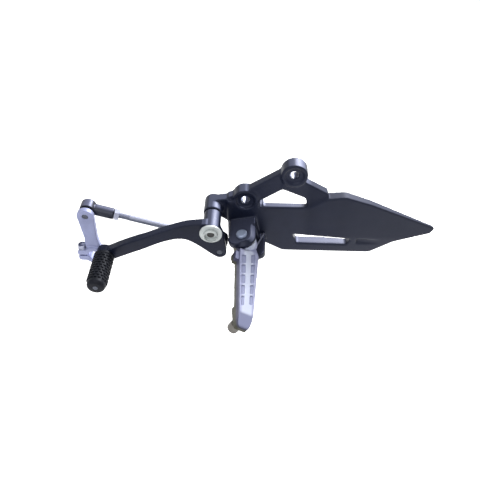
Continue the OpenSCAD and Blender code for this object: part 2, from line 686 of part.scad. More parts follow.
module shift_arm() color(cast_silver) difference() {
    union() {
        bar(front_ball, eye_d, sarm_in, sarm_out);
        slab([front_ball + [-eye_d / 2, 0], front_ball + [eye_d / 2, 0],
            front_ball + [waist_w / 2 + 0.5, -sarm_len * 0.55], shaft + [clamp_d / 2 - 2.5, 6],
            shaft + [-clamp_d / 2 + 2.5, 6], front_ball + [-waist_w / 2, -sarm_len * 0.55]], sarm_in, sarm_out);
        bar(shaft, clamp_d, clamp_in, clamp_out);
        slab(rounded([[shaft[0], shaft[1] + ear_h / 2, 0], [shaft[0], shaft[1] - ear_h / 2, 0],
            [shaft[0] - ear_reach, shaft[1] - ear_h / 2, 3], [shaft[0] - ear_reach, shaft[1] + ear_h / 2, 3]]),
            clamp_in, clamp_out);
    }
    bar(shaft, shaft_d, 0, clamp_out + over);
    slab([[shaft[0], shaft[1] - slit / 2], [shaft[0] - 30, shaft[1] - slit / 2],
        [shaft[0] - 30, shaft[1] + slit / 2], [shaft[0], shaft[1] + slit / 2]], clamp_in - over, clamp_out + over);
    bar(front_ball, rod_d + 2 * fit, 0, sarm_out + over);
    translate([pinch_x, -pinch_y, shaft[1] - 20]) cylinder(d = pinch_d + 2 * fit, h = 40);
    // Seat for the washer of the pinch bolt
    translate([pinch_x, -pinch_y, shaft[1] + ear_h / 2]) cylinder(d = pinch_d + 5.4, h = clamp_d);
}

module pinch_washer() color(bright_steel)
    translate([pinch_x, -pinch_y, shaft[1] + ear_h / 2 + fit]) difference() {
        cylinder(d = pinch_d + 4.4, h = 0.9);
        translate([0, 0, -over]) cylinder(d = pinch_d + 4 * fit, h = 3);
    }

module pinch_bolt() color(bright_steel) translate([pinch_x, -pinch_y, shaft[1] + ear_h / 2 + 2 * fit + 0.9])
    difference() {
        union() {
            translate([0, 0, -ear_h - 0.5]) cylinder(d = pinch_d, h = ear_h + 0.5);
            cylinder(d = pinch_d + 3.4, h = 4);
        }
        translate([0, 0, 1.6]) cylinder(d = 4 / cos(30), h = 4, $fn = 6);
    }

bracket();
footpeg();
hinge_pin();
pin_washer();
pin_clip();
return_spring();
feeler_bolt();
shift_lever();
pivot_bush();
pivot_seal();
pivot_bolt();
pivot_washer();
toe_pin();
toe_rubber();
rear_ball_stud();
rear_stud_nut();
rear_boot();
rear_rod_end();
rear_cap();
rear_locknut();
link_rod();
front_locknut();
front_rod_end();
front_cap();
front_boot();
front_ball_stud();
front_stud_nut();
shift_arm();
pinch_bolt();
pinch_washer();
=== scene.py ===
import json
import math

import bmesh
import bpy
from bpy.props import FloatProperty, FloatVectorProperty, IntProperty, PointerProperty
from mathutils import Matrix, Vector


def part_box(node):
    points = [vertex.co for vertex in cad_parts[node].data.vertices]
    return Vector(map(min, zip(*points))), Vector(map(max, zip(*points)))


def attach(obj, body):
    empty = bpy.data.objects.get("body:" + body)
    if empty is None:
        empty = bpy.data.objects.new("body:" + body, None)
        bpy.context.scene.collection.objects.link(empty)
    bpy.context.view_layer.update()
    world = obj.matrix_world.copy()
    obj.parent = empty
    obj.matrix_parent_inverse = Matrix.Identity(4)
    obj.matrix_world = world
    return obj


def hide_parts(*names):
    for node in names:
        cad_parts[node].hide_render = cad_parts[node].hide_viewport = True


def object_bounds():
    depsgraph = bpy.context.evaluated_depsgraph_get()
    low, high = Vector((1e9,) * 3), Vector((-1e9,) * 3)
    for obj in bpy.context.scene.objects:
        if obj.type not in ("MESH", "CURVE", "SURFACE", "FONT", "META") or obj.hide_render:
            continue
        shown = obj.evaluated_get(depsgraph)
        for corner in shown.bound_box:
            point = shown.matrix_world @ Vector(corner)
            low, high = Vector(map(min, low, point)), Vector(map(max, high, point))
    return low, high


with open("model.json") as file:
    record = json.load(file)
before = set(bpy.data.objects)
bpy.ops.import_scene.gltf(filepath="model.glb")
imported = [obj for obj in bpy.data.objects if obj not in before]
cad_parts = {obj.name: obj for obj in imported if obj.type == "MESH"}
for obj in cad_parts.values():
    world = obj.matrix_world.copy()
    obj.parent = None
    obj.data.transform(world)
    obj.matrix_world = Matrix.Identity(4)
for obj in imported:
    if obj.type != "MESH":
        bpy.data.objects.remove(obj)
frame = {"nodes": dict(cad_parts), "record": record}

bl_info = {
    "name": "Footpeg Looks",
    "version": (1, 0, 0),
    "blender": (4, 5, 0),
    "location": "3D View > Sidebar > Footpeg",
    "description": "Dresses the footpeg, its bracket, the shift lever and the linkage",
    "category": "Object",
}

CAD_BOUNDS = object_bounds()
MM = 0.001
TINY = 1e-9
X_AXIS, Y_AXIS, Z_AXIS = Vector((1, 0, 0)), Vector((0, 1, 0)), Vector((0, 0, 1))
ORIGIN = Vector((0, 0, 0))
OUTWARD = Vector((0, -1, 0))

# Places and directions that the frame gives
JOINTS = {joint["name"]: joint for joint in frame["record"]["behaviour"]["joints"]}
PIVOT = Vector(JOINTS["lever_pivot"]["pos_m"])
REAR_BALL = Vector(JOINTS["rod_swing"]["pos_m"])
FRONT_BALL = Vector(JOINTS["shift_arm_swing"]["pos_m"])
HINGE = Vector(JOINTS["footpeg_fold"]["pos_m"])
ROD_AXIS = (FRONT_BALL - REAR_BALL).normalized()
BOLT_SPACING = frame["record"]["mounts"][0]["dims"]["pcd_mm"] * MM

# The frame bolts lie on a sloping line, 47 mm apart along X and 32.5 mm along Z
BOLT_SLOPE = math.atan2(32.5, 47.0)
BORE_REACH = 4.9 * MM

# The hinge pin leans forward about Y, and its Z starts at the footpeg's hinge
HINGE_LEAN = math.radians(12.0)
AT_HINGE = Matrix.Translation(HINGE) @ Matrix.Rotation(-HINGE_LEAN, 4, "Y")

# The tread is rolled about Y, and its crests fall by 1 mm over the footpeg's length
TREAD_ROLL = math.radians(30.0)
TREAD_HIGH = 8.50 * MM
TREAD_FALL = 1.0 / 104.0

# Meshes: sharpest edge that is shaded smooth, welds of turned and of copied meshes, facets of a turned piece
SHARP = math.radians(38.0)
WELD = 1e-7
MESH_WELD = 1e-6
ROUND = 48

# Gap between touching pieces, in millimetres
SLACK = 0.05

# Nuts: bore radius and liner in millimetres, and fall of the chamfer for its length. Heads: dish of the face
NUT_BORE = 3.05
LINER_WALL = 0.5
LINER_PROUD = 0.02
NUT_CHAMFER = 0.45
SOCKET_DISH = 0.15


def rgb(name, text, default):
    """A colour property in scene-linear values."""
    return FloatVectorProperty(name=name, description=text, subtype="COLOR", size=3, min=0.0, max=1.0,
                               default=default)


def size(name, text, default):
    """A length property in metres."""
    return FloatProperty(name=name, description=text, default=default, min=0.0, unit="LENGTH", precision=5)


class FootpegSizes(bpy.types.PropertyGroup):
    """Sizes of the details that the looks add"""

    cast_voxel: size("Casting grid", "Grid on which the big castings get their soft edges", 0.8 * MM)
    fine_voxel: size("Fine grid", "Grid on which the footpeg, lever and arm get their soft edges", 0.55 * MM)
    cast_passes: IntProperty(name="Smoothing passes", description="How far the cast edges are rounded",
                             default=5, min=0, max=20)
    stud_rows: IntProperty(name="Stud rows", description="Rows of studs on the toe rubber", default=10, min=1)
    studs_round: IntProperty(name="Studs in a row", description="Studs round the rubber", default=14, min=3)
    stud_high: size("Stud height", "How far a stud stands out of the rubber", 1.1 * MM)
    thread_pitch: size("Thread pitch", "Pitch of the rod and stud threads", 1.0 * MM)
    thread_deep: size("Thread depth", "Depth of the threads", 0.35 * MM)
    edge_break: size("Edge break", "Bevel on the turned and sheared pieces", 0.3 * MM)
    boot_fold: size("Boot fold", "Height of a fold on the dust boots", 0.5 * MM)


class FootpegColours(bpy.types.PropertyGroup):
    """Colours of the finishes"""

    black_paint: rgb("Black coat", "Satin black coat of the bracket and lever", (0.008, 0.011, 0.026))
    # Painted reflection: the coat is made paler towards the guard's tip
    guard_tip: rgb("Black coat, guard tip", "Painted reflection paling the coat near the tip of the guard", (0.026, 0.029, 0.044))
    # Painted highlight on the faces that lean back and on the level ones
    painted_top_highlight: rgb("Black coat, upper faces", "Painted highlight where the part faces up", (0.20, 0.22, 0.34))
    cast_alloy: rgb("Footpeg alloy", "Bare cast alloy of the tread", (0.35, 0.37, 0.55))
    peg_bright: rgb("Footpeg spine", "Worn bright spine and rungs of the tread", (0.54, 0.58, 0.73))
    peg_pocket_shade: rgb("Footpeg pockets", "Painted shade in the pockets of the tread", (0.27, 0.29, 0.45))
    peg_flank_shade: rgb("Footpeg flank", "Painted shade on the flanks beside the tread", (0.08, 0.08, 0.15))
    peg_keel_shade: rgb("Footpeg keel", "Painted shade on the underside of the footpeg", (0.070, 0.070, 0.050))
    arm_alloy: rgb("Arm alloy", "Matte alloy of the gearshift arm", (0.34, 0.37, 0.58))
    bright_steel: rgb("Bright steel", "Bright plated rod and nuts", (0.34, 0.36, 0.47))
    rod_shade: rgb("Rod shade", "Painted shade on the underside of the rod", (0.07, 0.09, 0.15))
    pin_steel: rgb("Pin steel", "Grey steel of the hinge pin", (0.28, 0.33, 0.46))
    dark_steel: rgb("Dark steel", "Darkened ends of the studs and the toe pin", (0.085, 0.095, 0.13))
    socket_shade: rgb("Socket shade", "Dark inside of the pivot bolt's socket", (0.05, 0.05, 0.05))
    zinc_plate: rgb("Zinc plate", "Dull pale zinc of the pivot washer and bolt", (0.60, 0.64, 0.64))
    dull_steel: rgb("Dull steel", "Grey-brown steel of the banking feeler", (0.19, 0.18, 0.165))
    bronze: rgb("Bronze", "Oiled bronze of the pivot bush", (0.45, 0.33, 0.16))
    rubber: rgb("Rubber", "Matte black rubber", (0.006, 0.007, 0.011))
    oxide_top_highlight: rgb("Black oxide, upper faces", "Painted highlight where the sockets face up", (0.12, 0.13, 0.21))
    black_oxide: rgb("Black oxide", "Black steel of the ball sockets", (0.016, 0.019, 0.036))
    # Real bare metal, which the coat puts only on the lit bore walls as a painted highlight
    bore_metal: rgb("Machined bore", "Bare metal inside the frame bolt holes", (0.55, 0.58, 0.68))


class FootpegStage(bpy.types.PropertyGroup):
    """Camera, floor and lamps"""

    azimuth: FloatProperty(name="Azimuth", description="Camera angle about Z", default=math.radians(2.0),
                           subtype="ANGLE")
    elevation: FloatProperty(name="Elevation", description="Camera angle above the horizon",
                             default=math.radians(45.0), subtype="ANGLE")
    distance: size("Distance", "From the aim point to the camera", 0.56)
    aim: FloatVectorProperty(name="Aim", description="Point in the middle of the picture", size=3,
                             subtype="TRANSLATION", default=(-0.0280, -0.0414, -0.0435))
    lens: FloatProperty(name="Lens", description="Focal length in millimetres", default=42.0, min=1.0)
    floor_drop: size("Floor drop", "Depth of the floor below the part", 0.10)
    floor_grey: FloatProperty(name="Floor grey", description="Brightness of the pale floor", default=0.92)
    floor_lift: FloatProperty(name="Floor lift", description="Glow that keeps the floor white in view",
                              default=0.74)
    key_power: FloatProperty(name="Key lamp", description="Watts of the lamp behind the part", default=10.0)
    fill_power: FloatProperty(name="Fill lamp", description="Watts of the lamp above the part", default=3.0)
    world_level: FloatProperty(name="World level", description="Level of the light all round", default=0.25)


def sizes():
    return bpy.context.scene.footpeg_sizes


def tone(name):
    """A colour of the panel, for a socket or a mix."""
    return tuple(getattr(bpy.context.scene.footpeg_colours, name))


def box_of(node):
    """Low and high corner of a CAD node."""
    low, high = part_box(node)
    return Vector(low), Vector(high)


def on_frame_face(point):
    """The same place seen along the frame bolts, at the frame face."""
    return Vector((point[0], 0, point[2]))


# Meshes

def piece_from(bm, name, body, node, finish):
    """Writes a bmesh into a new object at the origin, on its CAD body and in place of a CAD node."""
    bmesh.ops.recalc_face_normals(bm, faces=bm.faces)
    for face in bm.faces:
        face.smooth = True
    for edge in bm.edges:
        edge.smooth = len(edge.link_faces) != 2 or edge.calc_face_angle(0.0) < SHARP
    mesh = bpy.data.meshes.new(name)
    bm.to_mesh(mesh)
    bm.free()
    piece = bpy.data.objects.new(name, mesh)
    bpy.context.scene.collection.objects.link(piece)
    piece.data.materials.append(FINISHES[finish])
    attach(piece, body)
    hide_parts(node)
    return piece


def place(bm, at, way):
    """Turns a mesh built along Z so that Z points the given way, and moves it."""
    turn = Z_AXIS.rotation_difference(Vector(way)).to_matrix().to_4x4()
    bmesh.ops.transform(bm, matrix=Matrix.Translation(Vector(at)) @ turn, verts=bm.verts)


def spun(bm, profile, steps=ROUND):
    """Spins a profile of (radius, height) pairs in millimetres about Z; the merge closes ends on the axis."""
    verts = [bm.verts.new((r * MM, 0, z * MM)) for r, z in profile]
    edges = [bm.edges.new(pair) for pair in zip(verts, verts[1:])]
    bmesh.ops.spin(bm, geom=verts + edges, cent=(0, 0, 0), axis=(0, 0, 1), angle=math.tau, steps=steps,
                   use_merge=True)
    bmesh.ops.remove_doubles(bm, verts=bm.verts, dist=WELD)
    return bm


def turned(profile, at, way, steps=ROUND):
    """A turned piece, spun from its profile and set in place."""
    bm = spun(bmesh.new(), profile, steps)
    place(bm, at, way)
    return bm


def ring(low, high, inner, outer, edge):
    """Profile of a plain ring with its outer edges broken."""
    return [(inner, low), (outer - edge, low), (outer, low + edge), (outer, high - edge),
            (outer - edge, high), (inner, high), (inner, low)]


def thread(start, stop, radius, pitch, deep):
    """Profile of the ridges on a threaded stretch, each with its corners at shares of the pitch."""
    turns = max(int((stop - start) / pitch), 1)
    step = (stop - start) / turns
    shape = ((deep, 0.04), (deep, 0.18), (0, 0.5), (0, 0.64), (deep, 0.96))
    return [(radius - sunk, start + step * (i + share)) for i in range(turns) for sunk, share in shape]


def hex_nut(flats, low, high):
    """A hexagon nut on Z with chamfered corners and a liner that shows as its bore, in millimetres."""
    bm = bmesh.new()
    made = bmesh.ops.create_circle(bm, segments=6, radius=flats * MM / math.sqrt(3), cap_ends=True)
    bmesh.ops.translate(bm, verts=made["verts"], vec=(0, 0, low * MM))
    raised = bmesh.ops.extrude_face_region(bm, geom=bm.faces[:])["geom"]
    bmesh.ops.translate(bm, verts=[item for item in raised if isinstance(item, bmesh.types.BMVert)],
                        vec=(0, 0, (high - low) * MM))
    level = [edge for edge in bm.edges if abs(edge.verts[0].co.z - edge.verts[1].co.z) < TINY]
    bmesh.ops.subdivide_edges(bm, edges=level, cuts=3, use_grid_fill=True)
    for vert in bm.verts:
        past_flat = max(math.hypot(vert.co.x, vert.co.y) - flats * MM / 2, 0.0)
        inward = 1 if vert.co.z < (low + high) * MM / 2 else -1
        vert.co.z += inward * past_flat * NUT_CHAMFER
    foot, top, outer = low - LINER_PROUD, high + LINER_PROUD, NUT_BORE + LINER_WALL
    liner = [(NUT_BORE, foot), (NUT_BORE, top), (outer, top), (outer, foot), (NUT_BORE, foot)]
    return spun(bm, liner, ROUND // 2)


def socket_head(radius, low, high, flats, deep, edge):
    """A round screw head on Z with a hexagon socket, in millimetres."""
    bm = spun(bmesh.new(), [(0, low), (radius - edge, low), (radius, low + edge), (radius, high - 2 * edge),
                            (radius - 2 * edge, high)])
    rim = [side for side in bm.edges if side.is_boundary]
    key = bmesh.ops.create_circle(bm, segments=6, radius=flats * MM / math.sqrt(3))["verts"]
    bmesh.ops.translate(bm, verts=key, vec=(0, 0, (high - SOCKET_DISH) * MM))
    loop = [side for side in bm.edges if side.is_boundary and side not in rim]
    bmesh.ops.bridge_loops(bm, edges=rim + loop)
    walls = bmesh.ops.extrude_edge_only(bm, edges=loop)["geom"]
    bmesh.ops.translate(bm, verts=[item for item in walls if isinstance(item, bmesh.types.BMVert)],
                        vec=(0, 0, -deep * MM))
    bmesh.ops.contextual_create(bm, geom=[item for item in walls if isinstance(item, bmesh.types.BMEdge)
                                          and item.is_boundary])
    return bm


def tube_along(path, radius, sides=14):
    """A round wire along a list of points, with both ends rounded."""
    bm = bmesh.new()
    rings = []
    for i, point in enumerate(path):
        way = (path[min(i + 1, len(path) - 1)] - path[max(i - 1, 0)]).normalized()
        across = Z_AXIS.cross(way).normalized()
        over = way.cross(across)
        rings.append([bm.verts.new(point + radius * (math.cos(a) * across + math.sin(a) * over))
                      for a in (math.tau * k / sides for k in range(sides))])
    for near, far in zip(rings, rings[1:]):
        for k in range(sides):
            bm.faces.new((near[k], near[(k + 1) % sides], far[(k + 1) % sides], far[k]))
    ends = [bm.faces.new(rings[0]), bm.faces.new(rings[-1])]
    rim = [edge for face in ends for edge in face.edges]
    bmesh.ops.bevel(bm, geom=rim, offset=radius * 0.3, segments=2, profile=0.5, affect="EDGES", material=-1)
    return bm


def softened(node, voxel, passes):
    """A copy of a CAD node's mesh on an even grid, with its edges rounded as on a casting."""
    source = frame["nodes"][node]
    mesh = source.data.copy()
    bm = bmesh.new()
    bm.from_mesh(mesh)
    bmesh.ops.transform(bm, matrix=source.matrix_world, verts=bm.verts)
    bmesh.ops.remove_doubles(bm, verts=bm.verts, dist=MESH_WELD)
    bm.to_mesh(mesh)
    bm.free()
    carrier = bpy.data.objects.new("carrier", mesh)
    bpy.context.scene.collection.objects.link(carrier)
    grid = carrier.modifiers.new("grid", "REMESH")
    grid.mode = "VOXEL"
    grid.voxel_size = voxel
    bpy.context.view_layer.update()
    even = bpy.data.meshes.new_from_object(carrier.evaluated_get(bpy.context.evaluated_depsgraph_get()))
    bpy.data.objects.remove(carrier)
    bpy.data.meshes.remove(mesh)
    bm = bmesh.new()
    bm.from_mesh(even)
    bpy.data.meshes.remove(even)
    for _ in range(passes):
        bmesh.ops.smooth_vert(bm, verts=bm.verts, factor=0.5, use_axis_x=True, use_axis_y=True,
                              use_axis_z=True)
    if len(bm.verts) == 0:
        raise RuntimeError("the grid of " + node + " came out empty")
    return bm


# Materials

FINISHES = {}

# Stretch of the noise's values that a drift makes use of, and curvatures at which an edge starts and ends
NOISE_SPAN = (0.3, 0.7)
EDGE_SPAN = (0.54, 0.62)

# Roughness and metallic value of the finishes that are one even plating
PLATINGS = {
    "bright_steel": (0.36, 0.6),
    "dark_steel": (0.42, 0.3),
    "pin_steel": (0.45, 0.5),
    "zinc_plate": (0.50, 0.3),
    "dull_steel": (0.50, 0.4),
    "bronze": (0.35, 0.9),
}


class Finish:
    """A node material with helpers that read Object coordinates."""

    def __init__(self, name, colour, rough, metal=0.0):
        FINISHES[name] = bpy.data.materials.new("look_" + name)
        FINISHES[name].use_nodes = True
        self.tree = FINISHES[name].node_tree
        self.shader = self.tree.nodes["Principled BSDF"]
        self.shader.inputs["Metallic"].default_value = metal
        self.shader.inputs["Roughness"].default_value = rough
        self.colour = colour
        self.rough = rough
        coordinates = self.node("ShaderNodeTexCoord")
        self.place = coordinates.outputs["Object"]
        self.normal = coordinates.outputs["Normal"]

    def node(self, kind, **values):
        made = self.tree.nodes.new(kind)
        for key, value in values.items():
            setattr(made, key, value)
        return made

    def feed(self, value, socket):
        """Links a socket to the given one, or sets it to the given constant."""
        if isinstance(value, bpy.types.NodeSocket):
            self.tree.links.new(value, socket)
        else:
            socket.default_value = value

    def gloss(self, level, tint=(1.0, 1.0, 1.0)):
        """Strength and tint of the mirrored light."""
        self.shader.inputs["Specular IOR Level"].default_value = level
        self.shader.inputs["Specular Tint"].default_value = (*tint, 1.0)

    def math(self, operation, first, second):
        made = self.node("ShaderNodeMath", operation=operation)
        self.feed(first, made.inputs[0])
        self.feed(second, made.inputs[1])
        return made.outputs["Value"]

    def times(self, first, second):
        return self.math("MULTIPLY", first, second)

    def most(self, first, second):
        return self.math("MAXIMUM", first, second)

    def noise(self, scale, detail=3.0):
        made = self.node("ShaderNodeTexNoise")
        made.inputs["Scale"].default_value = scale
        made.inputs["Detail"].default_value = detail
        self.feed(self.place, made.inputs["Vector"])
        return made.outputs["Fac"]

    def spread(self, value, start, full, low=0.0, high=1.0):
        """From low to high as the value goes from start to full."""
        made = self.node("ShaderNodeMapRange")
        for key, number in (("From Min", start), ("From Max", full), ("To Min", low), ("To Max", high)):
            made.inputs[key].default_value = number
        self.feed(value, made.inputs["Value"])
        return made.outputs["Result"]

    def mix(self, factor, first, second):
        """The first colour where the factor is 0, the second where it is 1."""
        made = self.node("ShaderNodeMix", data_type="RGBA")
        self.feed(factor, made.inputs[0])
        sockets = [socket for socket in made.inputs if socket.type == "RGBA"]
        for socket, value in zip(sockets, (first, second)):
            self.feed(value if isinstance(value, bpy.types.NodeSocket) else (*value, 1.0), socket)
        return next(socket for socket in made.outputs if socket.type == "RGBA")

    def drift(self, scale, low, high):
        """A value that wanders between two limits."""
        return self.spread(self.noise(scale), *NOISE_SPAN, low, high)

    def patchy(self, scale, amount):
        """The plain colour, wandering a little darker and lighter."""
        dark = tuple(c * (1 - amount) for c in self.colour)
        light = tuple(min(c * (1 + amount), 1.0) for c in self.colour)
        return self.mix(self.drift(scale, 0.0, 1.0), dark, light)

    def worn(self, base, amount, colour):
        """The base with its outer edges rubbed, which are found from the curvature of the surface."""
        edge = self.spread(self.node("ShaderNodeNewGeometry").outputs["Pointiness"], *EDGE_SPAN)
        return self.mix(self.times(edge, amount), base, colour)

    def paint(self, base):
        self.feed(base, self.shader.inputs["Base Color"])

    def rough_drift(self, scale, amount, extra=None):
        """Roughness that wanders about its plain value, raised by the extra where one is given."""
        rough = self.drift(scale, self.rough - amount, self.rough + amount)
        if extra is not None:
            rough = self.math("ADD", rough, extra)
        self.feed(rough, self.shader.inputs["Roughness"])

    def bump(self, height, strength, distance):
        made = self.node("ShaderNodeBump")
        made.inputs["Strength"].default_value = strength
        made.inputs["Distance"].default_value = distance
        self.feed(height, made.inputs["Height"])
        self.feed(made.outputs["Normal"], self.shader.inputs["Normal"])

    def cast_grain(self, strength):
        """The fine and coarse grain of a casting without a coat."""
        grain = self.math("ADD", self.noise(1400.0, detail=2.0), self.noise(300.0, detail=2.0))
        self.bump(grain, strength, 0.2 * MM)

    def dot(self, vector, way):
        made = self.node("ShaderNodeVectorMath", operation="DOT_PRODUCT")
        self.feed(vector, made.inputs[0])
        made.inputs[1].default_value = way
        return made.outputs["Value"]

    def facing(self, way, start, full):
        """0 to 1 as the surface turns towards a direction, by the cosine of the angle between them."""
        return self.spread(self.dot(self.normal, way), start, full)

    def along(self, way, origin, start, full):
        """0 to 1 along a direction, from one distance past the origin to another."""
        past = way.dot(origin)
        return self.spread(self.dot(self.place, way), past + start, past + full)

    def near_axis(self, centre, radius):
        """1 inside a round column along Y, 0 outside."""
        parts = self.node("ShaderNodeSeparateXYZ")
        self.feed(self.place, parts.inputs["Vector"])
        dx = self.math("SUBTRACT", parts.outputs["X"], centre.x)
        dz = self.math("SUBTRACT", parts.outputs["Z"], centre.z)
        squared = self.math("ADD", self.times(dx, dx), self.times(dz, dz))
        return self.math("LESS_THAN", squared, radius * radius)


def black_paint(name, highlight_column=None):
    """Satin black with a painted highlight on upper faces: everywhere, or only in a column along Y."""
    look = Finish(name, tone("black_paint"), rough=0.38)
    if highlight_column:
        look.gloss(0.19, tint=(0.85, 0.87, 1.0))
    else:
        look.gloss(0.26, tint=(0.74, 0.78, 1.0))
    # Painted reflection of the floor: the coat pales along X towards the guard's tip
    to_tip = look.along(X_AXIS, ORIGIN, start=20 * MM, full=170 * MM)
    base = look.mix(to_tip, look.patchy(scale=45.0, amount=0.18), tone("guard_tip"))

    # Painted highlight: faces that lean back are pale and level ones a little, both less so at the guard's
    # crown
    leaning = look.facing((0.42, 0, 0.91), start=0.84, full=0.99)
    level = look.facing((-0.2, 0, 0.98), start=0.93, full=0.98)
    crown = look.times(look.along(X_AXIS, ORIGIN, start=32 * MM, full=42 * MM),
                       look.along(Z_AXIS, ORIGIN, start=-66 * MM, full=-60 * MM))
    painted_highlight = look.most(leaning, look.times(level, 0.24))
    painted_highlight = look.times(painted_highlight, look.math("SUBTRACT", 1.0, look.times(crown, 0.85)))
    if highlight_column:
        painted_highlight = look.times(painted_highlight, look.near_axis(*highlight_column))
    base = look.worn(look.mix(painted_highlight, base, tone("painted_top_highlight")), 0.30, (0.14, 0.15, 0.22))

    # Bare metal in both frame bolt holes, laid only on the walls that the light reaches, so that it is also a
    # painted highlight
    hole = BOLT_SPACING / 2 * Vector((math.cos(BOLT_SLOPE), 0, math.sin(BOLT_SLOPE)))
    bare_bore_highlight = look.most(look.near_axis(-hole, BORE_REACH), look.near_axis(hole, BORE_REACH))
    bare_bore_highlight = look.times(bare_bore_highlight, look.facing((0.77, 0, 0.64), start=0.62, full=0.80))
    look.paint(look.mix(bare_bore_highlight, base, tone("bore_metal")))
    look.feed(look.times(bare_bore_highlight, 0.85), look.shader.inputs["Metallic"])
    look.rough_drift(scale=30.0, amount=0.05, extra=look.times(crown, 0.22))
    grain = look.math("ADD", look.noise(900.0, detail=2.0), look.times(look.noise(160.0, detail=2.0), 0.7))
    look.bump(grain, strength=0.10, distance=0.3 * MM)


def arm_metal():
    """Matte cast alloy with rubbed edges."""
    look = Finish("arm_alloy", tone("arm_alloy"), rough=0.55, metal=0.4)
    rubbed = tuple(min(c * 1.3, 1.0) for c in look.colour)
    look.paint(look.worn(look.patchy(scale=70.0, amount=0.10), 0.5, rubbed))
    look.rough_drift(scale=120.0, amount=0.07)
    look.cast_grain(strength=0.12)


def peg_metal():
    """Tumbled bright on the tread, with painted shade in its pockets, on its flanks and along the keel."""
    look = Finish("cast_alloy", tone("cast_alloy"), rough=0.50, metal=0.1)
    look.gloss(0.3)
    up = Vector((math.sin(TREAD_ROLL), 0, math.cos(TREAD_ROLL)))
    across = Vector((math.cos(TREAD_ROLL), 0, -math.sin(TREAD_ROLL)))
    off_crests = up + TREAD_FALL * OUTWARD
    spine = look.times(look.along(across, HINGE, start=-6.2 * MM, full=-4.4 * MM),
                       look.along(across, HINGE, start=6.2 * MM, full=4.4 * MM))
    base = look.mix(spine, look.patchy(scale=70.0, amount=0.06), tone("peg_bright"))
    # Painted shade: below the crests the pockets take a darker colour
    out_of_pocket = look.along(off_crests, HINGE, start=TREAD_HIGH - 0.75 * MM, full=TREAD_HIGH - 0.25 * MM)
    base = look.mix(out_of_pocket, tone("peg_pocket_shade"), base)
    tread = look.along(off_crests, HINGE, start=TREAD_HIGH - 2.6 * MM, full=TREAD_HIGH - 1.6 * MM)
    # Painted shade: faces that turn away from the tread's top, below the tread, are darkened
    base = look.mix(look.most(look.facing(up, start=0.35, full=0.8), tread), tone("peg_flank_shade"), base)
    # Painted shade along the keel, under the footpeg
    base = look.mix(look.along(up, HINGE, start=2.5 * MM, full=-0.5 * MM), base, tone("peg_keel_shade"))
    look.paint(look.worn(base, 0.45, (0.80, 0.80, 0.95)))
    look.rough_drift(scale=120.0, amount=0.07)
    look.cast_grain(strength=0.15)


def plated(name, rough, metal):
    """One even plating."""
    look = Finish(name, tone(name), rough, metal)
    look.paint(look.patchy(scale=200.0, amount=0.08))
    look.rough_drift(scale=350.0, amount=0.06)
    look.bump(look.noise(900.0, detail=2.0), strength=0.05, distance=0.1 * MM)


def rod_steel():
    """Bright on top, with painted shade on the underside."""
    look = Finish("rod_steel", tone("bright_steel"), rough=0.42, metal=0.3)
    # Painted shade: faces that turn down take the darker colour
    top = look.facing((0, 0.1, 0.99), start=-0.5, full=0.9)
    look.paint(look.mix(top, tone("rod_shade"), look.patchy(scale=200.0, amount=0.08)))
    look.rough_drift(scale=350.0, amount=0.05)


def bolt_zinc():
    """The washer's plating, with painted shade inside the socket of the head."""
    look = Finish("bolt_zinc", tone("zinc_plate"), rough=0.5, metal=0.3)
    head_face = box_of("pivot_bolt")[0]
    inside = look.times(look.near_axis(PIVOT, 3.6 * MM),
                        look.along(Y_AXIS, head_face, start=0.2 * MM, full=0.6 * MM))
    look.paint(look.mix(inside, look.patchy(scale=200.0, amount=0.08), tone("socket_shade")))
    look.rough_drift(scale=350.0, amount=0.06)


def rubber():
    """Matte black with a fine grain."""
    look = Finish("rubber", tone("rubber"), rough=0.52)
    look.gloss(0.18, tint=(0.85, 0.88, 1.0))
    look.paint(look.patchy(scale=150.0, amount=0.3))
    look.rough_drift(scale=220.0, amount=0.08)
    look.bump(look.noise(1500.0), strength=0.15, distance=0.2 * MM)


def black_oxide():
    """Blackened steel, with a painted highlight where it faces up, and rubbed along its edges."""
    look = Finish("black_oxide", tone("black_oxide"), rough=0.38, metal=0.4)
    # Painted highlight on the faces that turn up
    top = look.facing((0.1, 0.15, 0.98), start=0.72, full=0.98)
    base = look.mix(top, look.patchy(scale=150.0, amount=0.2), tone("oxide_top_highlight"))
    look.paint(look.worn(base, 0.5, (0.15, 0.15, 0.18)))
    look.rough_drift(scale=300.0, amount=0.06)
    look.bump(look.noise(1200.0, detail=2.0), strength=0.06, distance=0.1 * MM)


class FOOTPEG_OT_finishes(bpy.types.Operator):
    """Make the materials and give every CAD node its own"""

    bl_idname = "footpeg.finishes"
    bl_label = "Finishes"

    def execute(self, context):
        black_paint("black_paint")
        # On the lever the painted highlight is kept to a column round the pivot tube
        black_paint("lever_paint", highlight_column=(PIVOT, 12 * MM))
        peg_metal()
        arm_metal()
        rod_steel()
        bolt_zinc()
        rubber()
        black_oxide()
        for name, (rough, metal) in PLATINGS.items():
            plated(name, rough, metal)
        for part in frame["record"]["subparts"]:
            shape = frame["nodes"][part["node"]]
            shape.data.materials.clear()
            shape.data.materials.append(FINISHES[part["material_slot"]])
        return {"FINISHED"}


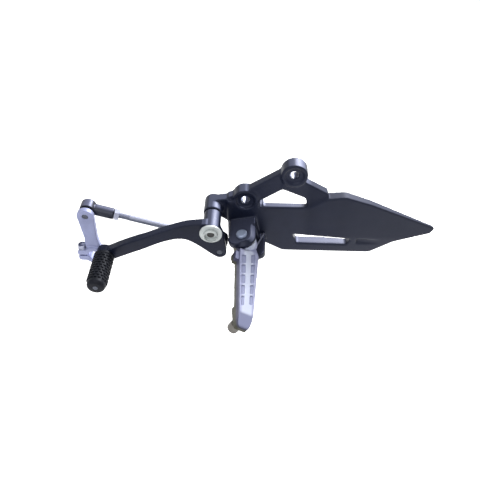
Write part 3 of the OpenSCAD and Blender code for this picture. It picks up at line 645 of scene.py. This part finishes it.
class FOOTPEG_OT_castings(bpy.types.Operator):
    """Give the bracket, lever, footpeg, gearshift arm and ball sockets soft edges"""

    bl_idname = "footpeg.castings"
    bl_label = "Castings"

    def execute(self, context):
        own = sizes()

        # A grid is its voxel size and its smoothing passes, and small shapes take fewer passes
        big, fine = (own.cast_voxel, own.cast_passes), (own.fine_voxel, own.cast_passes)
        tread, arm, socket = (own.fine_voxel * 0.75, 2), (own.fine_voxel, 3), (own.fine_voxel * 0.8, 3)
        for name, body, node, finish, slot, grid in (
                ("hanger_bracket", "hanger", "bracket", "black_paint", None, big),
                ("lever_blade", "lever", "shift_lever", "lever_paint", "black_paint", fine),
                ("footpeg_casting", "peg", "footpeg", "cast_alloy", None, tread),
                ("gearshift_lever", "arm", "shift_arm", "arm_alloy", None, arm),
                ("rear_socket", "rod", "rear_rod_end", "black_oxide", None, socket),
                ("front_socket", "rod", "front_rod_end", "black_oxide", None, socket)):
            piece = piece_from(softened(node, *grid), name, body, node, finish)
            for edge in piece.data.edges:
                edge.use_edge_sharp = False
        return {"FINISHED"}


class FOOTPEG_OT_toe_rubber(bpy.types.Operator):
    """Mould the toe sleeve with its rows of staggered studs"""

    bl_idname = "footpeg.toe_rubber"
    bl_label = "Toe rubber"

    # Sleeve, in millimetres: holes for the toe pin and its thin end, wall at the end, collar and nose
    PIN_HOLE, END_HOLE, END_WALL = 4.05, 2.55, 3.0
    COLLAR, COLLAR_EDGE, NOSE = 3.2, 0.5, 3.6

    # Lengths without studs: before the first row, at both ends together, and from the nose on
    FIRST_ROW, PLAIN, SMOOTH_END = 5.2, 9.5, 5.5

    # A stud's block: shares of its room round the sleeve and along it, shares of the stud's height for
    # the whole block and for its middle above the core, and the bevel in millimetres
    STUD_ROUND, STUD_LONG, STUD_TALL, STUD_RAISED, STUD_EDGE = 0.70, 0.62, 1.6, 0.2, 0.45

    def sleeve(self, core, outer, long):
        """Profile of the sleeve from its collar to its nose."""
        edge = self.COLLAR_EDGE
        profile = [(self.PIN_HOLE, 0), (outer - edge, 0), (outer, edge + 0.1),
                   (outer, self.COLLAR - edge - 0.1), (outer - edge, self.COLLAR),
                   (core, self.COLLAR + 0.4), (core, long - self.SMOOTH_END)]
        for degrees in range(0, 91, 15):
            a = math.radians(degrees)
            profile.append((core - self.NOSE * (1 - math.cos(a)), long - self.NOSE * (1 - math.sin(a))))
        return profile + [(self.END_HOLE, long), (self.END_HOLE, long - self.END_WALL),
                          (self.PIN_HOLE, long - self.END_WALL), (self.PIN_HOLE, 0)]

    def execute(self, context):
        own = sizes()
        low, high = box_of("toe_rubber")
        outer, long = (high.x - low.x) / 2, high.y - low.y
        core = outer - own.stud_high
        bm = spun(bmesh.new(), self.sleeve(core / MM, outer / MM, long / MM), steps=64)
        row_gap = (long - self.PLAIN * MM) / own.stud_rows
        room = math.tau * core / own.studs_round
        block = Matrix.Diagonal((own.stud_high * self.STUD_TALL, room * self.STUD_ROUND,
                                 row_gap * self.STUD_LONG, 1))
        for row in range(own.stud_rows):
            out, up = core + own.stud_high * self.STUD_RAISED, self.FIRST_ROW * MM + row * row_gap
            at = Matrix.Translation((out, 0, up))
            for k in range(own.studs_round):
                stagger = 0.5 * (row % 2)
                turn = Matrix.Rotation(math.tau * (k + stagger) / own.studs_round, 4, "Z")
                made = bmesh.ops.create_cube(bm, size=1.0)["verts"]
                bmesh.ops.transform(bm, matrix=turn @ at @ block, verts=made)
                edges = {edge for vert in made for edge in vert.link_edges}
                bmesh.ops.bevel(bm, geom=list(edges), offset=self.STUD_EDGE * MM, segments=2, profile=0.5,
                                affect="EDGES", material=-1)
        centre = (low + high) / 2
        place(bm, (centre.x, high.y, centre.z), OUTWARD)
        piece_from(bm, "toe_sleeve", "lever", "toe_rubber", "rubber")
        return {"FINISHED"}


class FOOTPEG_OT_hinge(bpy.types.Operator):
    """Turn the hinge pin and its washer, wind the spring and form the feeler"""

    bl_idname = "footpeg.hinge"
    bl_label = "Hinge"

    # Pin, in millimetres from the hinge: radii of shank, clip groove and head, and heights along the pin
    PIN_R, GROOVE_R, HEAD_R = 4.0, 3.0, 5.5
    FOOT, GROOVE_LOW, GROOVE_HIGH, SEAT, CROWN = -20.0, -18.8, -17.6, 16.05, 19.4

    # Washer under the lower lug: foot, top, inner and outer radius
    WASHER = (-17.05, -16.05, 4.1, 7.5)

    # Spring: turns, angle at which the leg leaves, radius of the coil, its two ends and the wire's radius
    TURNS, LEAVE, COIL_R, COIL_HIGH, COIL_LOW, WIRE_R = 2.5, math.radians(-24.5), 6.6, -2.7, -7.8, 0.9
    COIL_STEPS, LEG_STEPS = 90, 6

    # Depth of the hinge and of the guard's front face behind it, and the leg's gap to that face
    HINGE_OUT, GUARD_FRONT, LEG_GAP = 39.5, 15.0, 0.3

    FEELER_GRID = (0.4 * MM, 6)

    def pin_profile(self):
        shank = [(0, self.FOOT), (self.PIN_R - 0.5, self.FOOT), (self.PIN_R, self.FOOT + 0.5),
                 (self.PIN_R, self.GROOVE_LOW), (self.GROOVE_R, self.GROOVE_LOW),
                 (self.GROOVE_R, self.GROOVE_HIGH), (self.PIN_R, self.GROOVE_HIGH), (self.PIN_R, self.SEAT)]
        rim, crown = self.HEAD_R, self.CROWN
        head = [(rim - 0.3, self.SEAT), (rim, self.SEAT + 0.35), (rim, crown - 1.1),
                (rim - 0.25, crown - 0.5), (rim - 0.8, crown), (rim - 1.6, crown + 0.15),
                (rim - 2.6, crown + 0.05), (0, crown)]
        return shank + head

    def spring_path(self):
        """The coil from its inner end, then the straight leg up to the guard."""
        path = []
        for i in range(self.COIL_STEPS + 1):
            share = i / self.COIL_STEPS
            angle = self.LEAVE - self.TURNS * math.tau * (1 - share)
            path.append(Vector((self.COIL_R * math.cos(angle), self.COIL_R * math.sin(angle),
                                self.COIL_HIGH + (self.COIL_LOW - self.COIL_HIGH) * share)))
        depth = self.HINGE_OUT - self.GUARD_FRONT - self.WIRE_R - self.LEG_GAP
        reach = (depth - self.COIL_R * math.sin(self.LEAVE)) / math.cos(self.LEAVE)
        leg = Vector((-math.sin(self.LEAVE), math.cos(self.LEAVE), 0)) * reach
        path += [path[-1] + leg * (k / self.LEG_STEPS) for k in range(1, self.LEG_STEPS + 1)]
        return [point * MM for point in path]

    def execute(self, context):
        edge = sizes().edge_break / MM
        pin = spun(bmesh.new(), self.pin_profile(), steps=64)
        washer = spun(bmesh.new(), ring(*self.WASHER, edge * 0.8), steps=64)
        wire = tube_along(self.spring_path(), self.WIRE_R * MM)
        for bm, name, finish, node in ((pin, "hinge_rivet", "pin_steel", "hinge_pin"),
                                       (washer, "hinge_washer", "bright_steel", "pin_washer"),
                                       (wire, "torsion_spring", "bright_steel", "return_spring")):
            bmesh.ops.transform(bm, matrix=AT_HINGE, verts=bm.verts)
            piece_from(bm, name, "hanger", node, finish)
        feeler = softened("feeler_bolt", *self.FEELER_GRID)
        piece_from(feeler, "feeler_knob", "peg", "feeler_bolt", "dull_steel")
        return {"FINISHED"}


class FOOTPEG_OT_pivot(bpy.types.Operator):
    """Turn the lever pivot's bolt, washer, bush and seal, and the toe pin"""

    bl_idname = "footpeg.pivot"
    bl_label = "Lever pivot"

    # Depths along the pivot, in millimetres outward from the frame face
    BOLT_END, BOSS_END, HUB_IN, HUB_OUT, WASHER_OUT = 3.0, 23.05, 24.2, 50.0, 52.2

    # Radii of the bolt's thread and shoulder, of the bush, the seal and the washer with its hole
    THREAD_R, SHOULDER_R, BUSH_R, SEAL_R = 4.0, 5.0, 6.0, 8.0
    WASHER_HOLE, WASHER_R = 5.1, 11.0

    # Bolt head: radius, height, key size and depth of the socket
    HEAD_R, HEAD_HIGH, KEY, KEY_DEEP = 7.0, 3.4, 6.0, 2.6

    # Toe pin: radii of its shank and thin end, length of that end and the centre hole in its face
    TOE_R, TOE_END_R, TOE_END, CENTRE_R, CENTRE_DEEP = 4.0, 2.5, 3.4, 0.8, 0.4

    def execute(self, context):
        edge = sizes().edge_break / MM
        at = on_frame_face(PIVOT)

        disc = ring(self.HUB_OUT + SLACK, self.WASHER_OUT, self.WASHER_HOLE, self.WASHER_R, edge * 1.3)
        washer = turned(disc, at, OUTWARD, steps=72)
        piece_from(washer, "pivot_disc", "hanger", "pivot_washer", "zinc_plate")

        seat = self.WASHER_OUT + SLACK
        bolt = socket_head(self.HEAD_R, seat, seat + self.HEAD_HIGH, self.KEY, self.KEY_DEEP, edge * 1.6)
        spun(bolt, [(0, self.BOLT_END), (self.THREAD_R, self.BOLT_END), (self.THREAD_R, self.BOSS_END),
                    (self.SHOULDER_R, self.BOSS_END), (self.SHOULDER_R, seat + SLACK), (0, seat + SLACK)])
        place(bolt, at, OUTWARD)
        piece_from(bolt, "pivot_screw", "hanger", "pivot_bolt", "bolt_zinc")

        hole, outer = self.SHOULDER_R + SLACK, self.BUSH_R
        bush = turned([(hole, self.HUB_IN), (hole, self.HUB_OUT), (outer - 0.15, self.HUB_OUT),
                       (outer, self.HUB_OUT - 0.2), (outer, self.HUB_IN + 0.2), (outer - 0.15, self.HUB_IN),
                       (hole, self.HUB_IN)], at, OUTWARD)
        piece_from(bush, "pivot_sleeve", "lever", "pivot_bush", "bronze")

        low, high, lip = self.BOSS_END, self.HUB_IN - SLACK, self.SEAL_R
        seal = turned([(hole, low), (lip - 0.3, low), (lip, low + 0.25), (lip - 0.25, (low + high) / 2),
                       (lip, high - 0.25), (lip - 0.3, high), (hole, high), (hole, low)], at, OUTWARD)
        piece_from(seal, "pivot_ring", "hanger", "pivot_seal", "rubber")

        low, high = box_of("toe_pin")
        tip, root = -low.y / MM, -high.y / MM
        pin = turned([(0, root), (self.TOE_R, root), (self.TOE_R, tip - self.TOE_END),
                      (self.TOE_END_R, tip - self.TOE_END), (self.TOE_END_R, tip - edge),
                      (self.TOE_END_R - edge, tip), (self.CENTRE_R, tip), (self.CENTRE_R - 0.3, tip - 0.3),
                      (0, tip - self.CENTRE_DEEP)], on_frame_face((low + high) / 2), OUTWARD)
        piece_from(pin, "toe_stud", "lever", "toe_pin", "dark_steel")
        return {"FINISHED"}


class FOOTPEG_OT_linkage(bpy.types.Operator):
    """Turn the ball joints' caps, boots, studs and nuts and the threaded rod"""

    bl_idname = "footpeg.linkage"
    bl_label = "Linkage"

    # Depths of the ball joints, in millimetres outward from the frame face
    SOCKET_IN, BALL_OUT, BOOT_IN = 22.7, 28.0, 33.35

    # Cap behind the socket: radii of its flange and its plug, thickness and depth of the plug
    CAP_R, PLUG_R, CAP_T, PLUG_DEEP = 6.7, 5.0, 1.6, 0.8

    # Boot: radii of its inside, its first fold and its top, its wall, and the taper over all its folds
    BOOT_NECK, BOOT_R, BOOT_TOP, BOOT_WALL, BOOT_TAPER, BOOT_FOLDS = 4.4, 6.9, 6.3, 0.4, 0.6, 3

    # Its end behind the nut's outer face, and the recess in front of the nut's inner face
    BOOT_STOP, BOOT_GAP = 0.25, 0.3

    # Ball stud: radii of ball and stud, widest angle of the ball's outline and where its neck ends
    BALL_R, STUD_R, BALL_SWEEP, NECK_OUT = 5.0, 3.0, 140, 32.2

    # Widths across flats of the stud nuts and of the lock nuts
    STUD_NUT, LOCK_NUT = 9.0, 10.0

    # Rod, in millimetres from the ball: start, lock nut and end of the thread
    ROD_R, ROD_START, LOCK_LOW, LOCK_HIGH, THREAD_END = 3.0, 14.0, 26.05, 31.05, 41.0

    def cap_profile(self):
        foot, top = self.SOCKET_IN - self.CAP_T, self.SOCKET_IN - SLACK
        plug_end = self.SOCKET_IN + self.PLUG_DEEP
        return [(0, foot), (self.CAP_R - 1.5, foot), (self.CAP_R - 1.0, foot + 0.1),
                (self.CAP_R - 0.2, foot + 0.7), (self.CAP_R, foot + 1.0), (self.CAP_R, foot + 1.5),
                (self.CAP_R - 0.1, top), (self.PLUG_R, top), (self.PLUG_R, plug_end), (0, plug_end)]

    def boot_profile(self, stop, nut_low, fold):
        step = (stop - self.BOOT_IN) / self.BOOT_FOLDS
        profile = [(self.BOOT_NECK, self.BOOT_IN)]
        for i in range(self.BOOT_FOLDS):
            outer = self.BOOT_R - self.BOOT_TAPER * i / self.BOOT_FOLDS
            foot = self.BOOT_IN + step * i
            profile += [(outer - fold * 0.5, foot + 0.02), (outer, foot + step * 0.25),
                        (outer, foot + step * 0.55), (outer - fold, foot + step * 0.85)]
        inner = self.BOOT_TOP - self.BOOT_WALL
        return profile + [(self.BOOT_TOP, stop), (inner, stop), (inner, nut_low - self.BOOT_GAP),
                          (self.BOOT_NECK, self.BOOT_IN)]

    def stud_profile(self, tip):
        """The ball, the neck above it and the stud's end with its centre hole."""
        angles = [math.radians(degrees) for degrees in range(0, self.BALL_SWEEP + 1, 10)]
        ball = [(self.BALL_R * math.sin(a), self.BALL_OUT - self.BALL_R * math.cos(a)) for a in angles]
        side = self.STUD_R
        return ball + [(side, self.NECK_OUT), (side, tip - 0.6), (side - 0.5, tip - 0.05), (1.2, tip),
                       (0.9, tip - 0.5), (0, tip - 0.7)]

    def rod_profile(self, reach, pitch, deep):
        low, high = self.ROD_START, reach - self.ROD_START
        core = self.ROD_R - 0.5
        profile = [(0, low), (core, low)]
        profile += thread(low + 0.5, self.THREAD_END, self.ROD_R, pitch, deep)
        profile += [(self.ROD_R, self.THREAD_END + 0.4), (self.ROD_R, reach - self.THREAD_END - 0.4)]
        profile += thread(reach - self.THREAD_END, high - 0.5, self.ROD_R, pitch, deep)
        return profile + [(core, high), (0, high)]

    def execute(self, context):
        own = sizes()
        for end, ball, stud_body in (("rear", REAR_BALL, "lever"), ("front", FRONT_BALL, "arm")):
            at = on_frame_face(ball)
            nut_high, nut_low = (-corner.y / MM for corner in box_of(end + "_stud_nut"))
            tip = -box_of(end + "_ball_stud")[0].y / MM

            cap = turned(self.cap_profile(), at, OUTWARD, steps=56)
            piece_from(cap, end + "_plug", "rod", end + "_cap", "black_oxide")

            profile = self.boot_profile(nut_high - self.BOOT_STOP, nut_low, own.boot_fold / MM)
            boot = turned(profile, at, OUTWARD, steps=56)
            piece_from(boot, end + "_gaiter", "rod", end + "_boot", "rubber")

            stud = turned(self.stud_profile(tip), at, OUTWARD)
            piece_from(stud, end + "_stud", stud_body, end + "_ball_stud", "dark_steel")

            stud_nut = hex_nut(self.STUD_NUT, nut_low, nut_high)
            place(stud_nut, at, OUTWARD)
            piece_from(stud_nut, end + "_hex", stud_body, end + "_stud_nut", "bright_steel")

        reach = (FRONT_BALL - REAR_BALL).length / MM
        profile = self.rod_profile(reach, own.thread_pitch / MM, own.thread_deep / MM)
        rod = turned(profile, REAR_BALL, ROD_AXIS, steps=40)
        piece_from(rod, "threaded_rod", "rod", "link_rod", "rod_steel")
        for end, ball, way in (("rear", REAR_BALL, ROD_AXIS), ("front", FRONT_BALL, -ROD_AXIS)):
            lock_nut = hex_nut(self.LOCK_NUT, self.LOCK_LOW, self.LOCK_HIGH)
            place(lock_nut, ball, way)
            piece_from(lock_nut, end + "_jam_nut", "rod", end + "_locknut", "bright_steel")
        return {"FINISHED"}


class FOOTPEG_OT_pinch(bpy.types.Operator):
    """Turn the pinch bolt of the gearshift arm and its washer"""

    bl_idname = "footpeg.pinch"
    bl_label = "Pinch bolt"

    # In millimetres: radii of head, thread and the washer's hole, head height, key, socket depth, plain neck
    HEAD_R, BOLT_R, WASHER_HOLE = 4.2, 2.5, 2.6
    HEAD_HIGH, KEY, KEY_DEEP, NECK = 4.0, 4.0, 2.2, 6.0

    # The thread is finer than the rod's, as shares of its pitch and depth
    FINER_PITCH, FINER_DEEP = 0.8, 0.7

    def execute(self, context):
        own = sizes()
        edge = own.edge_break / MM
        low, high = box_of("pinch_bolt")
        centre = (low + high) / 2
        at = (centre.x, centre.y, 0)
        foot, top = low.z / MM, high.z / MM
        seat = top - self.HEAD_HIGH
        bolt = socket_head(self.HEAD_R, seat, top, self.KEY, self.KEY_DEEP, edge)
        profile = [(0, foot), (self.BOLT_R - 0.4, foot)]
        profile += thread(foot + 0.3, seat - self.NECK, self.BOLT_R, own.thread_pitch / MM * self.FINER_PITCH,
                          own.thread_deep / MM * self.FINER_DEEP)
        profile += [(self.BOLT_R, seat - self.NECK + 0.2), (self.BOLT_R, seat + SLACK), (0, seat + SLACK)]
        spun(bolt, profile, steps=40)
        place(bolt, at, Z_AXIS)
        piece_from(bolt, "pinch_screw", "arm", "pinch_bolt", "bright_steel")

        low, high = box_of("pinch_washer")
        outer = (high.x - low.x) / 2 / MM
        disc = turned(ring(low.z / MM, high.z / MM, self.WASHER_HOLE, outer, edge * 0.6), at, Z_AXIS)
        piece_from(disc, "pinch_disc", "arm", "pinch_washer", "bright_steel")
        return {"FINISHED"}


def shown(tree):
    """1 for the rays that show the background: camera, glossy and transmission rays."""
    rays = tree.nodes.new("ShaderNodeLightPath")
    total = rays.outputs["Is Camera Ray"]
    for name in ("Is Glossy Ray", "Is Transmission Ray"):
        most = tree.nodes.new("ShaderNodeMath")
        most.operation = "MAXIMUM"
        tree.links.new(total, most.inputs[0])
        tree.links.new(rays.outputs[name], most.inputs[1])
        total = most.outputs["Value"]
    return total


class FOOTPEG_OT_stage(bpy.types.Operator):
    """Set the pale floor, the soft lights and the camera"""

    bl_idname = "footpeg.stage"
    bl_label = "Stage"

    # Lamps: place from the aim point and width of the disc, in metres
    KEY_FROM, KEY_WIDTH = Vector((0.32, 0.54, 0.48)), 0.42
    FILL_FROM, FILL_WIDTH = Vector((-0.20, -0.55, 0.60)), 0.8

    FLOOR_HALF = 2.5
    SENSOR_MM = 36.0
    CLIP_START = 0.01

    def light_world(self, scene, level):
        """White where it is seen, and a soft level of light on the part."""
        scene.world = bpy.data.worlds.new("surround")
        scene.world.use_nodes = True
        tree = scene.world.node_tree
        back = tree.nodes["Background"]
        back.inputs["Color"].default_value = (1, 1, 1, 1)
        strength = tree.nodes.new("ShaderNodeMapRange")
        strength.inputs["To Min"].default_value = level
        strength.inputs["To Max"].default_value = 1.0
        tree.links.new(shown(tree), strength.inputs["Value"])
        tree.links.new(strength.outputs["Result"], back.inputs["Strength"])

    def pale_floor(self, scene, height, grey, lift):
        """A matte floor that glows a little for the rays that show it."""
        pale = bpy.data.materials.new("pale_floor")
        pale.use_nodes = True
        tree = pale.node_tree
        shader = tree.nodes["Principled BSDF"]
        for key, value in (("Base Color", (grey, grey, grey, 1)), ("Roughness", 1.0),
                           ("Specular IOR Level", 0.0), ("Emission Color", (1, 1, 1, 1))):
            shader.inputs[key].default_value = value
        glow = tree.nodes.new("ShaderNodeMath")
        glow.operation = "MULTIPLY"
        glow.inputs[1].default_value = lift
        tree.links.new(shown(tree), glow.inputs[0])
        tree.links.new(glow.outputs["Value"], shader.inputs["Emission Strength"])
        bm = bmesh.new()
        bmesh.ops.create_grid(bm, x_segments=2, y_segments=2, size=self.FLOOR_HALF)
        bmesh.ops.translate(bm, verts=bm.verts, vec=(0, 0, height))
        mesh = bpy.data.meshes.new("floor")
        bm.to_mesh(mesh)
        bm.free()
        floor = bpy.data.objects.new("floor", mesh)
        floor.data.materials.append(pale)
        scene.collection.objects.link(floor)

    def soft_lamp(self, scene, name, aim, offset, width, power):
        lamp = bpy.data.lights.new(name, "AREA")
        lamp.shape = "DISK"
        lamp.size = width
        lamp.energy = power
        made = bpy.data.objects.new(name, lamp)
        made.location = aim + offset
        made.rotation_euler = offset.to_track_quat("Z", "Y").to_euler()
        scene.collection.objects.link(made)

    def aim_camera(self, scene, own):
        camera = bpy.data.cameras.new("camera")
        camera.sensor_width = self.SENSOR_MM
        camera.lens = own.lens
        camera.clip_start = self.CLIP_START
        eye = bpy.data.objects.new("camera", camera)
        turn, rise = own.azimuth, own.elevation
        away = Vector((math.sin(turn) * math.cos(rise), -math.cos(turn) * math.cos(rise), math.sin(rise)))
        eye.location = Vector(own.aim) + away * own.distance
        eye.rotation_euler = away.to_track_quat("Z", "Y").to_euler()
        scene.collection.objects.link(eye)
        scene.camera = eye

    def execute(self, context):
        scene = context.scene
        own = scene.footpeg_stage
        scene.view_settings.view_transform = "Standard"
        scene.view_settings.look = "None"
        self.light_world(scene, own.world_level)
        self.pale_floor(scene, CAD_BOUNDS[0][2] - own.floor_drop, own.floor_grey, own.floor_lift)
        aim = Vector(own.aim)
        self.soft_lamp(scene, "back_key", aim, self.KEY_FROM, self.KEY_WIDTH, own.key_power)
        self.soft_lamp(scene, "front_fill", aim, self.FILL_FROM, self.FILL_WIDTH, own.fill_power)
        self.aim_camera(scene, own)
        return {"FINISHED"}


OPERATORS = (FOOTPEG_OT_finishes, FOOTPEG_OT_castings, FOOTPEG_OT_toe_rubber, FOOTPEG_OT_hinge,
             FOOTPEG_OT_pivot, FOOTPEG_OT_linkage, FOOTPEG_OT_pinch, FOOTPEG_OT_stage)


class FOOTPEG_PT_panel(bpy.types.Panel):
    """Lists the steps that dress the part"""

    bl_idname = "FOOTPEG_PT_panel"
    bl_label = "Footpeg"
    bl_space_type = "VIEW_3D"
    bl_region_type = "UI"
    bl_category = "Footpeg"

    def draw(self, context):
        for step in OPERATORS:
            self.layout.operator(step.bl_idname)
        scene = context.scene
        for group in (scene.footpeg_sizes, scene.footpeg_colours, scene.footpeg_stage):
            box = self.layout.box()
            for name in group.bl_rna.properties.keys():
                if name not in ("rna_type", "name"):
                    box.prop(group, name)


CLASSES = (FootpegSizes, FootpegColours, FootpegStage, *OPERATORS, FOOTPEG_PT_panel)


def register():
    for made in CLASSES:
        bpy.utils.register_class(made)
    bpy.types.Scene.footpeg_sizes = PointerProperty(type=FootpegSizes)
    bpy.types.Scene.footpeg_colours = PointerProperty(type=FootpegColours)
    bpy.types.Scene.footpeg_stage = PointerProperty(type=FootpegStage)


def unregister():
    del bpy.types.Scene.footpeg_stage
    del bpy.types.Scene.footpeg_colours
    del bpy.types.Scene.footpeg_sizes
    for made in reversed(CLASSES):
        bpy.utils.unregister_class(made)


def main():
    register()
    for step in OPERATORS:
        group, name = step.bl_idname.split(".")
        if getattr(getattr(bpy.ops, group), name)() != {"FINISHED"}:
            raise RuntimeError(step.bl_label + " did not finish")


if __name__ == "__main__":
    main()
